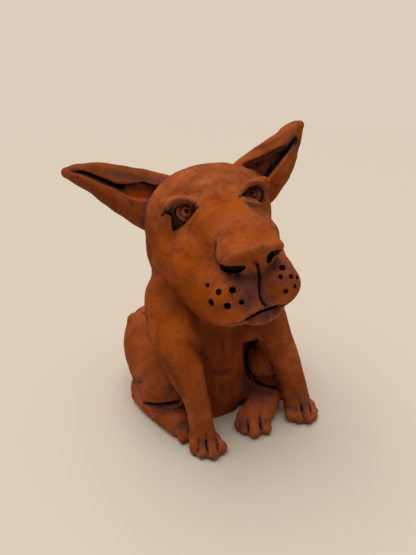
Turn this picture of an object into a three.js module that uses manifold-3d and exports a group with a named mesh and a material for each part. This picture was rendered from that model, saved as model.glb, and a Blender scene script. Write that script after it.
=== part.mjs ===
// A seated dog in terracotta, built by hand from rolled, pinched and pressed forms
// that the potter luted together before firing.
// Millimetres. X is the dog's left, Y its back, Z is up, and the dog faces -Y.
import * as THREE from "three";
import { mergeVertices } from "three/addons/utils/BufferGeometryUtils.js";
import Module from "manifold-3d";

const wasm = await Module();
wasm.setup();

// Clay walls and joints
const bodyWall = 8;
const headWall = 7;
const seam = 0.3; // gap left at every luted joint
const socketGap = 0.5; // between an eyeball and its socket

// Heights above the table
const shoulderHeight = 146;
const collarDrop = 22; // the neck is joined to the torso this far below the shoulders
const neckRise = 44; // from the shoulders to the head's middle

// Torso and neck: a tall hollow pot, open underneath and at the top
const bellyHalfWidth = 47;
const bellyHalfDepth = 68;
const chestHalfWidth = 47;
const chestHalfDepth = 44;
const neckHalfWidth = 54;
const neckHalfDepth = 46;
const bellyBack = 10; // how far the belly's middle stands behind the chest's
const bellyShift = -10; // the belly leans to the dog's right

// Forelegs
const shoulderHalf = 23;
const elbowHalf = 18;
const wristHalf = 13;
const forepawHalfRight = 17;
const forepawHalfLeft = 19;
const forepawLength = 34;
const forepawHeight = 19;

// Haunches and hind feet
const thighHalfWidth = 28;
const thighHalfHeight = 38;
const shankHalf = 14;
const hindFootHalf = 12;
const hindPawHalf = 18;
const hindPawLength = 30;
const hindPawHeight = 17;
const toeGroove = 1.2; // half width of the grooves between toes

// Tail
const tailHalf = 10;
const tailReach = 42; // how far it curls round towards the dog's left

// Head, in a frame of its own at the top of the neck: -Y is where the nose points
const headTurn = -6; // degrees, towards the dog's right
const headTilt = 9; // degrees, left side up
const skullHalfWidth = 66;
const skullHalfHeight = 55;
const skullShift = -5; // the skull is fuller on the dog's right
const muzzleHalfWidth = 47;
const muzzleHalfHeight = 35;
const muzzleTip = 98; // from the head's middle to the front of the muzzle
const bridgeHalfWidth = 29;
const noseProud = 2; // how far the nose stands out past the muzzle
const nostrilHalf = 5;
const flewInset = 25; // the flews' middles, in from the muzzle's sides
const flewHalf = 19;
const jawHalfWidth = 25;
const eyeInset = 31; // the eyes, in from the skull's sides
const eyeDrop = 28; // the eyes, below the crown
const eyeForward = 22;
const eyeRadius = 9.7;
const gazeUp = 30; // degrees
const browRise = 12; // the brows, above the eyes
const pupilRadius = 1.9;
const whiskerRadius = 2.7;
const whiskerDepth = 13;
const headAside = 7; // where the head's middle stands over the body
const headBack = 10;

// Ears
const earOut = 132;
const earRise = 71;
const earBack = 54;
const earHalfWidth = 27;
const earHalfThickness = 12;
const earRim = 6;
const earDroop = { "1": 5, "-1": -3 }; // how much lower the middle of each ear hangs
const earLobe = { "1": 0, "-1": 4 }; // how much fuller each ear is at its root

// Places worked out from the sizes above
const collarHeight = shoulderHeight - collarDrop;
const headHeight = shoulderHeight + neckRise;
const bellyFront = bellyBack - bellyHalfDepth;
const bellyRear = bellyBack + bellyHalfDepth;
const flankLeft = bellyHalfWidth + bellyShift;
const flankRight = bellyHalfWidth - bellyShift;
const noseTip = muzzleTip + noseProud;
const noseOut = bridgeHalfWidth - 7;
const flewOut = muzzleHalfWidth - flewInset;
const eyeOut = skullHalfWidth - eyeInset;
const eyeHeight = skullHalfHeight - eyeDrop;
const browHeight = eyeHeight + browRise;

const axisX = new THREE.Vector3(1, 0, 0);
const axisZ = new THREE.Vector3(0, 0, 1);
const noseward = new THREE.Vector3(0, -1, 0);

// Each station of a form is [x, y, z, half width, half depth] on its middle line.
const torsoLine = [
  [bellyShift, bellyBack, -12, bellyHalfWidth - 3, bellyHalfDepth - 4],
  [bellyShift, bellyBack, shoulderHeight * 0.17, bellyHalfWidth, bellyHalfDepth],
  [bellyShift + 1, bellyBack - 1, shoulderHeight * 0.4, bellyHalfWidth - 1, bellyHalfDepth - 7],
  [bellyShift + 3, bellyBack - 2, shoulderHeight * 0.64, bellyHalfWidth, bellyHalfDepth - 16],
  [bellyShift + 6, bellyBack - 5, collarHeight, chestHalfWidth + 3, chestHalfDepth],
];
const neckLine = [
  [bellyShift + 6, bellyBack - 5, collarHeight, chestHalfWidth + 3, chestHalfDepth],
  [bellyShift + 1, bellyBack - 3, shoulderHeight + 2, neckHalfWidth + 5, neckHalfDepth],
  [bellyShift + 7, bellyBack + 3, headHeight - 16, neckHalfWidth, neckHalfDepth],
];
const handed = (stations, side) => stations.map(([x, ...rest]) => [side * x, ...rest]);

// side is 1 for the dog's left and -1 for its right
const legs = {
  "1": {
    line: [
      [chestHalfWidth - 7, -2, shoulderHeight * 0.96, shoulderHalf - 3, shoulderHalf],
      [chestHalfWidth - 6, -16, shoulderHeight * 0.82, shoulderHalf, shoulderHalf + 1],
      [chestHalfWidth - 4, -40, shoulderHeight * 0.66, elbowHalf + 3, elbowHalf + 3],
      [chestHalfWidth + 1, -58, shoulderHeight * 0.5, elbowHalf - 1, elbowHalf - 1],
      [chestHalfWidth + 8, -70, shoulderHeight * 0.34, wristHalf + 1, wristHalf + 1],
      [chestHalfWidth + 12, -79, forepawHeight + 3, wristHalf + 1, wristHalf + 1],
      [chestHalfWidth + 14, -82, forepawHeight / 2, wristHalf + 2, wristHalf + 1],
    ],
    paw: [chestHalfWidth + 15, -84], pawHalf: forepawHalfLeft, toeTurn: 0,
  },
  "-1": {
    line: [
      [-chestHalfWidth, 0, shoulderHeight * 0.99, shoulderHalf, shoulderHalf + 1],
      [-7 - chestHalfWidth, -12, shoulderHeight * 0.85, shoulderHalf + 2, shoulderHalf + 4],
      [-10 - chestHalfWidth, -38, shoulderHeight * 0.7, elbowHalf + 5, elbowHalf + 4],
      [-10 - chestHalfWidth, -58, shoulderHeight * 0.54, elbowHalf, elbowHalf],
      [-5 - chestHalfWidth, -72, shoulderHeight * 0.36, wristHalf, wristHalf],
      [-2 - chestHalfWidth, -80, forepawHeight + 3, wristHalf - 1, wristHalf - 1],
      [-2 - chestHalfWidth, -83, forepawHeight / 2, wristHalf, wristHalf],
    ],
    paw: [-2 - chestHalfWidth, -85], pawHalf: forepawHalfRight, toeTurn: -4,
  },
};
// The left thigh stands out further behind the foreleg, with its knee tucked in.
const haunches = {
  "1": {
    thigh: [
      [flankLeft + 19, 50, thighHalfHeight * 1.6, thighHalfWidth - 6, thighHalfHeight - 14],
      [flankLeft + 24, 30, thighHalfHeight * 1.42, thighHalfWidth, thighHalfHeight - 2],
      [flankLeft + 19, 2, thighHalfHeight * 1.2, thighHalfWidth, thighHalfHeight],
      [flankLeft + 9, -34, thighHalfHeight - 2, thighHalfWidth - 8, thighHalfHeight - 8],
    ],
    shank: [
      [flankLeft + 17, -32, shankHalf * 1.8, shankHalf + 1, shankHalf + 1],
      [flankLeft + 30, -14, shankHalf * 1.5, shankHalf + 3, shankHalf + 2],
      [flankLeft + 42, 4, shankHalf * 1.3, shankHalf - 1, shankHalf],
    ],
  },
  "-1": {
    thigh: [
      [-1 - flankRight, 50, thighHalfHeight * 1.6, thighHalfWidth - 4, thighHalfHeight - 10],
      [-9 - flankRight, 30, thighHalfHeight * 1.5, thighHalfWidth, thighHalfHeight - 1],
      [-11 - flankRight, 4, thighHalfHeight * 1.24, thighHalfWidth, thighHalfHeight],
      [-10 - flankRight, -20, thighHalfHeight - 1, thighHalfWidth - 4, thighHalfHeight - 10],
    ],
    shank: [
      [-5 - flankRight, -32, shankHalf * 1.8, shankHalf + 1, shankHalf + 1],
      [-16 - flankRight, -14, shankHalf * 1.45, shankHalf + 4, shankHalf + 4],
      [-25 - flankRight, 4, shankHalf * 1.15, shankHalf + 1, shankHalf + 3],
    ],
  },
};
const hindFeet = {
  "1": {
    line: [
      [flankLeft + 31, bellyFront + 30, 16, hindFootHalf + 5, hindFootHalf + 3],
      [flankLeft + 8, bellyFront + 11, 16, hindFootHalf + 7, hindFootHalf + 4],
      [flankLeft - 13, bellyFront - 10, 12, hindFootHalf + 6, hindFootHalf + 1],
      [flankLeft - 27, bellyFront - 22, hindPawHeight / 2, hindFootHalf + 3, hindPawHeight / 2],
    ],
    paw: [flankLeft - 33, bellyFront - 26], pawHalf: hindPawHalf, toeTurn: -20,
  },
  "-1": {
    line: [
      [-27 - flankRight, 4, 9, hindFootHalf + 1, hindFootHalf - 1],
      [-19 - flankRight, -20, 9, hindFootHalf + 3, hindFootHalf],
      [-10 - flankRight, -42, 9, hindFootHalf + 3, hindFootHalf],
      [-6 - flankRight, -56, 8, hindFootHalf + 1, hindFootHalf - 1],
    ],
    paw: [-4 - flankRight, -60], pawHalf: hindFootHalf, toeTurn: 20,
  },
};
const tailLine = [
  [0, bellyRear - 4, tailHalf + 2, tailHalf, tailHalf],
  [tailReach * 0.45, bellyRear + 7, tailHalf, tailHalf - 2, tailHalf - 2],
  [tailReach, bellyRear, tailHalf - 2, tailHalf - 4, tailHalf - 3],
];

const skullLine = [
  [skullShift, 42, 6, skullHalfWidth - 22, skullHalfHeight - 19],
  [skullShift, 28, 7, skullHalfWidth - 8, skullHalfHeight - 8],
  [skullShift, 10, 7, skullHalfWidth, skullHalfHeight - 1],
  [skullShift + 1, -6, 6, skullHalfWidth - 4, skullHalfHeight],
  [skullShift + 4, -20, 3, skullHalfWidth - 14, skullHalfHeight - 4],
  [skullShift + 5, -34, 0, skullHalfWidth - 32, skullHalfHeight - 12],
];
const muzzleLine = [
  [-8, 20, -16, muzzleHalfWidth + 17, muzzleHalfHeight + 5],
  [-8, 2, -20, muzzleHalfWidth + 19, muzzleHalfHeight + 7],
  [-7, -24, -28, muzzleHalfWidth + 14, muzzleHalfHeight + 7],
  [-4, 40 - muzzleTip, -36, muzzleHalfWidth + 4, muzzleHalfHeight + 3],
  [-3, 20 - muzzleTip, -36, muzzleHalfWidth - 4, muzzleHalfHeight - 3],
  [-2, 7 - muzzleTip, -33, muzzleHalfWidth - 13, muzzleHalfHeight - 11],
];
const bridgeLine = [
  [0, -16, 20, bridgeHalfWidth + 8, 36],
  [0, -42, 9, bridgeHalfWidth + 6, 30],
  [0, -68, 1, bridgeHalfWidth + 1, 25],
  [0, 16 - noseTip, -2, bridgeHalfWidth - 4, 15],
];
const browLine = [
  [eyeOut - 13, -30, browHeight - 5, 5.5, 5.5],
  [eyeOut + 2, -24, browHeight - 2, 6.5, 6.5],
  [eyeOut + 15, -13, browHeight - 5, 6, 6],
];
const noseLine = [
  [0, 28 - noseTip, 7, bridgeHalfWidth - 2, 16],
  [0, 12 - noseTip, 3, noseOut + 7, 12],
  [0, 4 - noseTip, 2, noseOut + 3, 10],
];
const flewLine = [
  [flewOut + 3, 38 - muzzleTip, -28, flewHalf - 1, flewHalf + 3],
  [flewOut, 20 - muzzleTip, -32, flewHalf + 1, flewHalf + 4],
  [flewOut - 1, 5 - muzzleTip, -33, flewHalf, flewHalf + 1],
];
const jawLine = [
  [0, 54 - muzzleTip, -52, jawHalfWidth + 9, 14],
  [1, 26 - muzzleTip, -54, jawHalfWidth + 6, 13],
  [3, 4 - muzzleTip, -53, jawHalfWidth - 4, 11],
];
const earLine = (side) => handed([
  [earOut * 0.3, earBack * 0.45, earRise * 0.3 - earDroop[side] - earLobe[side],
    earHalfWidth + 3 + earLobe[side], earHalfThickness],
  [earOut * 0.46, earBack * 0.46, earRise * 0.48 - earDroop[side] - earLobe[side] / 2,
    earHalfWidth + 1 + earLobe[side] / 2, earHalfThickness],
  [earOut * 0.62, earBack * 0.5, earRise * 0.66 - earDroop[side], earHalfWidth - 4, earHalfThickness],
  [earOut * 0.76, earBack * 0.66, earRise * 0.83 - earDroop[side], earHalfWidth - 11, earHalfThickness - 2],
  [earOut * 0.89, earBack * 0.86, earRise * 0.94 - earDroop[side] / 2,
    earHalfWidth - 17, earHalfThickness - 4],
  [earOut - 5, earBack - 2, earRise - 2 - earDroop[side] / 2, earHalfWidth - 22, earHalfThickness - 7],
], side);
const earEdge = (side) => new THREE.Vector3(side * 0.15, -0.5, -0.82); // from the upper edge to the lower
const pocketForward = 9;
const pocketUp = 3;
const pocketLine = (side) => earLine(side).slice(1, 5).map(([x, y, z, wide, deep]) => [
  x, y + pocketUp / 2, z + pocketUp, wide - earRim, deep - 3]);

// A sphere drawn out along the stations; grow thickens it all round.
// Its sections stand square to the middle line, or to the direction facing where that is given.
function rolled(stations, { around = 18, along = 10, side = axisX, square = 2, grow = 0, shift = 0,
  capRows = 3, capReach = 1, facing } = {}) {
  const rows = along + 2 * capRows;
  const geometry = new THREE.SphereGeometry(1, around, rows);
  const middle = stations.map(([x, y, z]) => new THREE.Vector3(x, y, z));
  const girths = stations.map(([, , , wide, deep]) => new THREE.Vector3(wide, deep, 0));
  const line = new THREE.CatmullRomCurve3(middle, false, "catmullrom", 0.5);
  const girth = new THREE.CatmullRomCurve3(girths, false, "catmullrom", 0.5);
  const p = geometry.attributes.position;
  for (let i = 0; i < p.count; i++) {
    const polar = Math.acos(THREE.MathUtils.clamp(p.getY(i), -1, 1));
    const turn = Math.atan2(p.getZ(i), p.getX(i));
    const row = Math.round((polar / Math.PI) * rows);
    const t = THREE.MathUtils.clamp((row - capRows) / along, 0, 1);
    const centre = line.getPoint(t);
    const ahead = facing ?? line.getTangent(t);
    const size = girth.getPoint(t);
    const wide = size.x + grow;
    const deep = size.y + grow;
    const u = side.clone().addScaledVector(ahead, -side.dot(ahead)).normalize();
    const v = new THREE.Vector3().crossVectors(ahead, u);
    centre.addScaledVector(v, shift);
    let shrink = 1;
    if (row < capRows || row > rows - capRows) {
      const angle = (Math.min(row, rows - row) / capRows) * Math.PI / 2;
      const reach = capReach * Math.min(wide, deep) * Math.cos(angle);
      centre.addScaledVector(ahead, row < capRows ? -reach : reach);
      shrink = Math.sin(angle);
    }
    const c = Math.cos(turn);
    const s = Math.sin(turn);
    const k = shrink / (Math.abs(c) ** square + Math.abs(s) ** square) ** (1 / square);
    centre.addScaledVector(u, c * k * wide).addScaledVector(v, s * k * deep);
    p.setXYZ(i, centre.x, centre.y, centre.z);
  }
  return solid(geometry);
}

// A closed mesh of three.js as a solid that can be joined and cut
function solid(geometry) {
  geometry.deleteAttribute("normal");
  geometry.deleteAttribute("uv");
  const merged = mergeVertices(geometry, 1e-4);
  const index = Uint32Array.from(merged.index.array);
  const at = (i) => new THREE.Vector3().fromBufferAttribute(merged.attributes.position, index[i]);
  let volume = 0;
  for (let i = 0; i < index.length; i += 3) volume += at(i).dot(at(i + 1).cross(at(i + 2)));
  if (volume < 0) index.reverse();
  const vertProperties = Float32Array.from(merged.attributes.position.array);
  return new wasm.Manifold(new wasm.Mesh({ numProp: 3, vertProperties, triVerts: index }));
}

const united = (...solids) => solids.reduce((whole, next) => whole.add(next));
const onTable = (body) => body.trimByPlane([0, 0, 1], 0); // flat underneath, at the height of the table

const head = new THREE.Group();
head.position.set(headAside, headBack, headHeight);
head.rotation.set(0, -THREE.MathUtils.degToRad(headTilt), THREE.MathUtils.degToRad(headTurn), "ZYX");
head.updateMatrix();
function moved(body, matrix) {
  const { vertProperties, triVerts } = body.getMesh();
  const geometry = new THREE.BufferGeometry();
  geometry.setAttribute("position", new THREE.BufferAttribute(Float32Array.from(vertProperties), 3));
  geometry.setIndex(new THREE.BufferAttribute(triVerts, 1));
  return solid(geometry.applyMatrix4(matrix));
}

// Outer forms, each with a thickness to grow by
const flatEnds = { capRows: 2, capReach: 0.3 };
const torsoEnds = { ...flatEnds, square: 2.6 };
const skullEnds = { capReach: 0.65, facing: noseward };
const muzzleEnds = { square: 2.8, capReach: 0.45 };
const torsoForm = (grow = 0) => rolled(torsoLine, { around: 26, along: 9, ...torsoEnds, grow });
const neckForm = (grow = 0) => rolled(neckLine, { around: 22, along: 4, ...flatEnds, grow });
const boreForm = () => rolled(neckLine, { around: 16, along: 3, ...flatEnds, grow: -bodyWall });
const skullForm = (grow = 0) => rolled(skullLine, { around: 22, along: 9, ...skullEnds, grow });
const muzzleForm = (grow = 0) => rolled(muzzleLine, { around: 20, along: 6, ...muzzleEnds, grow });
const bridgeForm = (grow = 0) => rolled(bridgeLine, { around: 14, along: 5, capRows: 2, grow });
const browForm = (side, grow = 0) => rolled(
  handed(browLine, side), { around: 8, along: 4, capRows: 2, side: axisZ, grow });
const skullPart = (grow = 0) => united(skullForm(grow), browForm(1, grow), browForm(-1, grow));
const muzzlePart = (grow = 0) => united(muzzleForm(grow), bridgeForm(grow));
const headForm = (grow = 0) => united(skullPart(grow), muzzlePart(grow));
const noseForm = (grow = 0) => rolled(noseLine, { around: 16, along: 4, capReach: 0.5, grow });
const flewForm = (side, grow = 0) => rolled(
  handed(flewLine, side), { around: 16, along: 3, capReach: 0.75, grow });
const jawForm = (grow = 0) => rolled(jawLine, { around: 14, along: 6, grow });
const legForm = (side, grow = 0) => rolled(legs[side].line, { around: 14, along: 11, capRows: 2, grow });
const thighForm = (side, grow = 0) => rolled(haunches[side].thigh, { around: 16, along: 6, grow });
const shankForm = (side, grow = 0) => rolled(
  haunches[side].shank, { around: 12, along: 4, capRows: 2, grow });
const tailForm = (grow = 0) => rolled(tailLine, { around: 10, along: 6, capRows: 2, side: axisZ, grow });

// A paw is a low pad with four toes pressed out of its front edge.
function pawForm({ paw: [x, y], pawHalf, toeTurn }, length, height, grow = 0) {
  const turn = THREE.MathUtils.degToRad(toeTurn);
  const forward = [Math.sin(turn), -Math.cos(turn)];
  const across = [Math.cos(turn), Math.sin(turn)];
  const toes = [-1.5, -0.5, 0.5, 1.5].map((place) => {
    const toeHalf = pawHalf / 4 + 0.6;
    const out = place * (pawHalf / 2 - toeGroove / 4);
    const reach = length / 2 - toeHalf - Math.abs(place) * length * 0.06;
    const spot = (ahead, lift, half) => [
      x + forward[0] * ahead + across[0] * out * 0.94, y + forward[1] * ahead + across[1] * out * 0.94,
      lift, half, half];
    return rolled([spot(-length * 0.1, height * 0.5, toeHalf), spot(reach, toeHalf, toeHalf)],
      { around: 6, along: 1, capRows: 2, grow });
  });
  const heel = -length * 0.25;
  const instep = length * 0.12;
  const pad = rolled([
    [x + forward[0] * heel, y + forward[1] * heel, height * 0.5, pawHalf * 0.72, height * 0.5],
    [x + forward[0] * instep, y + forward[1] * instep, height * 0.4, pawHalf * 0.95, height * 0.42],
  ], { around: 12, along: 2, capRows: 2, grow });
  return united(pad, ...toes);
}
const foreleg = (side, grow = 0) => united(
  legForm(side, grow), pawForm(legs[side], forepawLength, forepawHeight, grow));
const hindFoot = (side, grow = 0) => united(
  rolled(hindFeet[side].line, { around: 12, along: 6, capRows: 2, grow }),
  pawForm(hindFeet[side], hindPawLength, hindPawHeight, grow));
const haunch = (side, grow = 0) => united(thighForm(side, grow), shankForm(side, grow));

// Eyes: a ball in a socket, under a lid and with a tapered corner
const ball = (radius, around = 12) => new THREE.SphereGeometry(radius, around, around * 0.75);
const eyeAt = (side) => [side * eyeOut, -eyeForward, eyeHeight];
const eyeCorner = (side) => rolled([
  [side * (eyeOut - 9), -eyeForward - 10, eyeHeight + 2, 4, 5],
  [side * eyeOut, -eyeForward - 10, eyeHeight, 9, 9],
  [side * (eyeOut + 13), -eyeForward - 2, eyeHeight - 4, 7, 7],
], { around: 10, along: 6, side: axisZ });
const socket = (side) => united(
  solid(ball(eyeRadius + socketGap).translate(...eyeAt(side))), eyeCorner(side));
const socketBack = (side) => solid(ball(eyeRadius + socketGap + headWall, 8).translate(...eyeAt(side)));

// Whisker holes: where each is pierced, and how far from its mouth the tool went in
// Each place is [out from the middle, behind the muzzle's tip, up].
const whiskerSpots = [
  [13, -3, -20], [25, -2, -19], [37, 7, -22],
  [13, -5, -35], [26, -3, -40], [38, 7, -37],
];
const whiskerCore = [16, 32, -28]; // the holes all point to here
const onMuzzle = ([out, behind, up], side) => new THREE.Vector3(side * out, behind - muzzleTip, up);
const whisker = (spot, side) => {
  const mouth = onMuzzle(spot, side);
  const core = onMuzzle(whiskerCore, side);
  const inward = core.sub(mouth).normalize();
  const turn = new THREE.Quaternion().setFromUnitVectors(new THREE.Vector3(0, 1, 0), inward);
  const middle = mouth.addScaledVector(inward, whiskerDepth / 2);
  return solid(new THREE.CylinderGeometry(whiskerRadius, whiskerRadius, whiskerDepth + 8, 7)
    .applyQuaternion(turn).translate(middle.x, middle.y, middle.z));
};
const whiskers = (side) => united(...whiskerSpots.map((spot) => whisker(spot, side)));

const nostril = (side) => rolled([
  [side * (noseOut - 9), 2 - noseTip, -7, nostrilHalf - 1, nostrilHalf - 1],
  [side * (noseOut + 1), 9 - noseTip, -6, nostrilHalf, nostrilHalf - 1],
], { around: 10, along: 3, side: axisZ });

// Ears: a leaf with a pocket pressed into its front
const earForm = (side, grow = 0) => rolled(
  earLine(side), { around: 14, along: 9, capRows: 2, side: earEdge(side), grow });
const earPocket = (side) => rolled(pocketLine(side), {
  around: 10, along: 6, capRows: 2, side: earEdge(side), shift: -side * pocketForward });

function piece(name, body, color = "#9c4f2b") {
  const crumb = 20; // cubic millimetres: anything smaller is waste from a cut
  const kept = united(...body.decompose().filter((lump) => lump.volume() > crumb));
  const { vertProperties, triVerts } = kept.getMesh();
  const geometry = new THREE.BufferGeometry();
  geometry.setAttribute("position", new THREE.BufferAttribute(vertProperties, 3));
  geometry.setIndex(new THREE.BufferAttribute(triVerts, 1));
  const fired = new THREE.MeshStandardMaterial({ color, roughness: 0.85, metalness: 0 });
  const mesh = new THREE.Mesh(geometry, fired);
  mesh.name = name;
  return mesh;
}

const dog = new THREE.Group();
dog.add(head);
const sides = { left: 1, right: -1 };

const headOnBody = moved(headForm(seam), head.matrix);
const torsoHollow = rolled(torsoLine, { around: 18, along: 7, ...torsoEnds, grow: -bodyWall });
dog.add(piece("torso", onTable(
  torsoForm().subtract(torsoHollow).subtract(boreForm()).subtract(headOnBody))));
dog.add(piece("neck", neckForm().subtract(torsoForm(seam)).subtract(headOnBody).subtract(boreForm())));
const trunk = united(torsoForm(seam), neckForm(seam));
for (const [name, side] of Object.entries(sides)) {
  const leg = foreleg(side, seam);
  dog.add(piece(`foreleg_${name}`, onTable(foreleg(side).subtract(trunk).subtract(headOnBody))));
  dog.add(piece(`haunch_${name}`, onTable(haunch(side).subtract(trunk).subtract(leg))));
  dog.add(piece(`hind_foot_${name}`, onTable(
    hindFoot(side).subtract(trunk).subtract(leg).subtract(haunch(side, seam)))));
}
dog.add(piece("tail", onTable(tailForm().subtract(torsoForm(seam)))));

const eyeBacks = united(socketBack(1), socketBack(-1));
const headHollow = united(
  rolled(skullLine, { around: 14, along: 6, ...skullEnds, grow: -headWall }),
  rolled(muzzleLine, { around: 14, along: 5, ...muzzleEnds, grow: -headWall }),
).subtract(eyeBacks);
const boreInHead = moved(boreForm(), head.matrix.clone().invert());
const headCuts = united(headHollow, boreInHead, ...[1, -1].flatMap(
  (side) => [socket(side), whiskers(side), nostril(side)]));
head.add(piece("skull", skullPart().subtract(headCuts)));
head.add(piece("muzzle", muzzlePart().subtract(skullPart(seam)).subtract(headCuts)));
const nosePad = noseForm().subtract(headForm(seam)).subtract(nostril(1)).subtract(nostril(-1));
head.add(piece("nose_pad", nosePad));
head.add(piece("lower_jaw", jawForm().subtract(headForm(seam))
  .subtract(flewForm(1, seam)).subtract(flewForm(-1, seam))));
for (const [name, side] of Object.entries(sides)) {
  head.add(piece(`flew_${name}`, flewForm(side).subtract(headForm(seam))
    .subtract(noseForm(seam)).subtract(whiskers(side))));
  head.add(piece(`ear_${name}`, earForm(side).subtract(headForm(seam)).subtract(earPocket(side))));
  const eye = solid(ball(eyeRadius)).subtract(solid(
    new THREE.CylinderGeometry(pupilRadius, pupilRadius, eyeRadius, 8).rotateX(Math.PI / 2)
      .translate(0, -eyeRadius, 0)));
  const mesh = piece(`eyeball_${name}`, eye, "#6b3521");
  mesh.position.set(...eyeAt(side));
  mesh.rotation.set(-THREE.MathUtils.degToRad(gazeUp), 0, 0);
  head.add(mesh);
}

// The origin is on the table under the middle of the dog's box.
dog.updateMatrixWorld(true);
const box = new THREE.Box3().setFromObject(dog, true);
const middle = box.getCenter(new THREE.Vector3());
dog.position.set(-middle.x, -middle.y, -box.min.z);

export default dog;
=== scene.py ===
import math

import bmesh
import bpy
import numpy as np
from mathutils import Matrix, Vector, noise
from mathutils.bvhtree import BVHTree


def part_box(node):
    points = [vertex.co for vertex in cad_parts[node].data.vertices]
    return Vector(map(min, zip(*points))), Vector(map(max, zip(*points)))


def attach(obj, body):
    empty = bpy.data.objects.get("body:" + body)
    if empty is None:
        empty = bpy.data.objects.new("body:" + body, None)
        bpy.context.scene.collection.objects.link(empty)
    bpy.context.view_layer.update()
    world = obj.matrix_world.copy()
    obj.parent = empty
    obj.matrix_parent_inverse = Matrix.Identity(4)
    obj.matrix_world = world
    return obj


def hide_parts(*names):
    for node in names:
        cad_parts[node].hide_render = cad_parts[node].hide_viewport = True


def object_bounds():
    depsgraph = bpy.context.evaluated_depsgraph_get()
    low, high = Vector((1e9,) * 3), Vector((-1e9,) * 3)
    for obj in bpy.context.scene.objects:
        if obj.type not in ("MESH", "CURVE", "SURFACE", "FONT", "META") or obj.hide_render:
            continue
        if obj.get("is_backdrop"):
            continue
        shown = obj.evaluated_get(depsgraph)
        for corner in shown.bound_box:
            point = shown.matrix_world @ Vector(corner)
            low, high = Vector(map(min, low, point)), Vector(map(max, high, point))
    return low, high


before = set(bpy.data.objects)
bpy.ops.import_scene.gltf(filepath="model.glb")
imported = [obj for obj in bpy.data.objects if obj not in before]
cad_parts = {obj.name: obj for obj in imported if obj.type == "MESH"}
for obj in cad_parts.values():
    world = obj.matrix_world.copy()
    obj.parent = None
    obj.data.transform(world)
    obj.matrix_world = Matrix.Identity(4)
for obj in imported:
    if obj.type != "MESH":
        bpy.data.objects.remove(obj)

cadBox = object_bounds()
scene = bpy.context.scene
mm = 0.001
coarse = 1.0  # a coarser clay skin while trying things
sides = {"left": 1, "right": -1}  # which way along X
# Of these paints, the first is the oxide wash together with painted shade in creases and under the lids, the
# third is painted shade under the head and in valleys, and the last is dry dust with painted highlights
paintNames = ("wash", "ochre", "burnt", "pale")  # each is a number from 0 to 1 on every point of the clay

headPlace = {"middle": (7, 10, 190), "turn": -6, "tilt": -9}
headMatrix = (Matrix.Translation(headPlace["middle"])
              @ Matrix.Rotation(math.radians(headPlace["turn"]), 4, "Z")
              @ Matrix.Rotation(math.radians(headPlace["tilt"]), 4, "Y"))
eyeMiddle = {"out": 35, "ahead": -22, "up": 27, "radius": 9.7}

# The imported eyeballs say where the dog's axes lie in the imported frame.
eyeCorners = [corner for side in ("left", "right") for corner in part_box("eyeball_" + side)]
eyesPacked = sum(eyeCorners, Vector()) / len(eyeCorners)
dogShift = eyesPacked / mm - headMatrix @ Vector((0, eyeMiddle["ahead"], eyeMiddle["up"]))
print("dog shift, mm:", [round(v, 2) for v in dogShift])

# The viewpoint of the picture; marks on the clay are placed by looking from here.
view = {"place": (-166.3, -355.6, 324.0), "turn": 24.2, "down": 25.65, "focal": 417.0,
        "wide": 416, "high": 555}
turn, down = math.radians(view["turn"]), math.radians(view["down"])
viewFrom = Vector(view["place"])
viewSpot = np.array(viewFrom)
viewRight = Vector((math.cos(turn), -math.sin(turn), 0))
along = math.cos(down)
viewAhead = Vector((math.sin(turn) * along, math.cos(turn) * along, -math.sin(down)))
viewDown = viewAhead.cross(viewRight)


def sightLine(x, y):
    across = (x - view["wide"] / 2) / view["focal"]
    below = (y - view["high"] / 2) / view["focal"]
    return (viewAhead + viewRight * across + viewDown * below).normalized()


def seenAt(spots):
    # Where points in the dog's axes fall in the picture
    away = spots - viewSpot
    depth = away @ np.array(viewAhead)
    across = away @ np.array(viewRight) / depth * view["focal"] + view["wide"] / 2
    below = away @ np.array(viewDown) / depth * view["focal"] + view["high"] / 2
    return np.stack([across, below], -1)


# Rolled forms
def onLine(line, t):
    # A smooth line through the stations: the station at t, and which way the line runs there
    points = np.array(line, float)
    points = np.vstack([2 * points[0] - points[1], points, 2 * points[-1] - points[-2]])
    place = min(t, 0.999999) * (len(line) - 1)
    first = int(place)
    w = place - first
    a, b, c, d = points[first:first + 4]
    square, cube = 2 * a - 5 * b + 4 * c - d, 3 * b - a - 3 * c + d
    station = 0.5 * (2 * b + (c - a) * w + square * w ** 2 + cube * w ** 3)
    run = 0.5 * ((c - a) + 2 * square * w + 3 * cube * w ** 2)
    return station, Vector(run[:3]).normalized()


rollGrid = {"steps": 24, "caps": 8, "around": 32}  # rows along a roll and over each end, and columns round it


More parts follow.
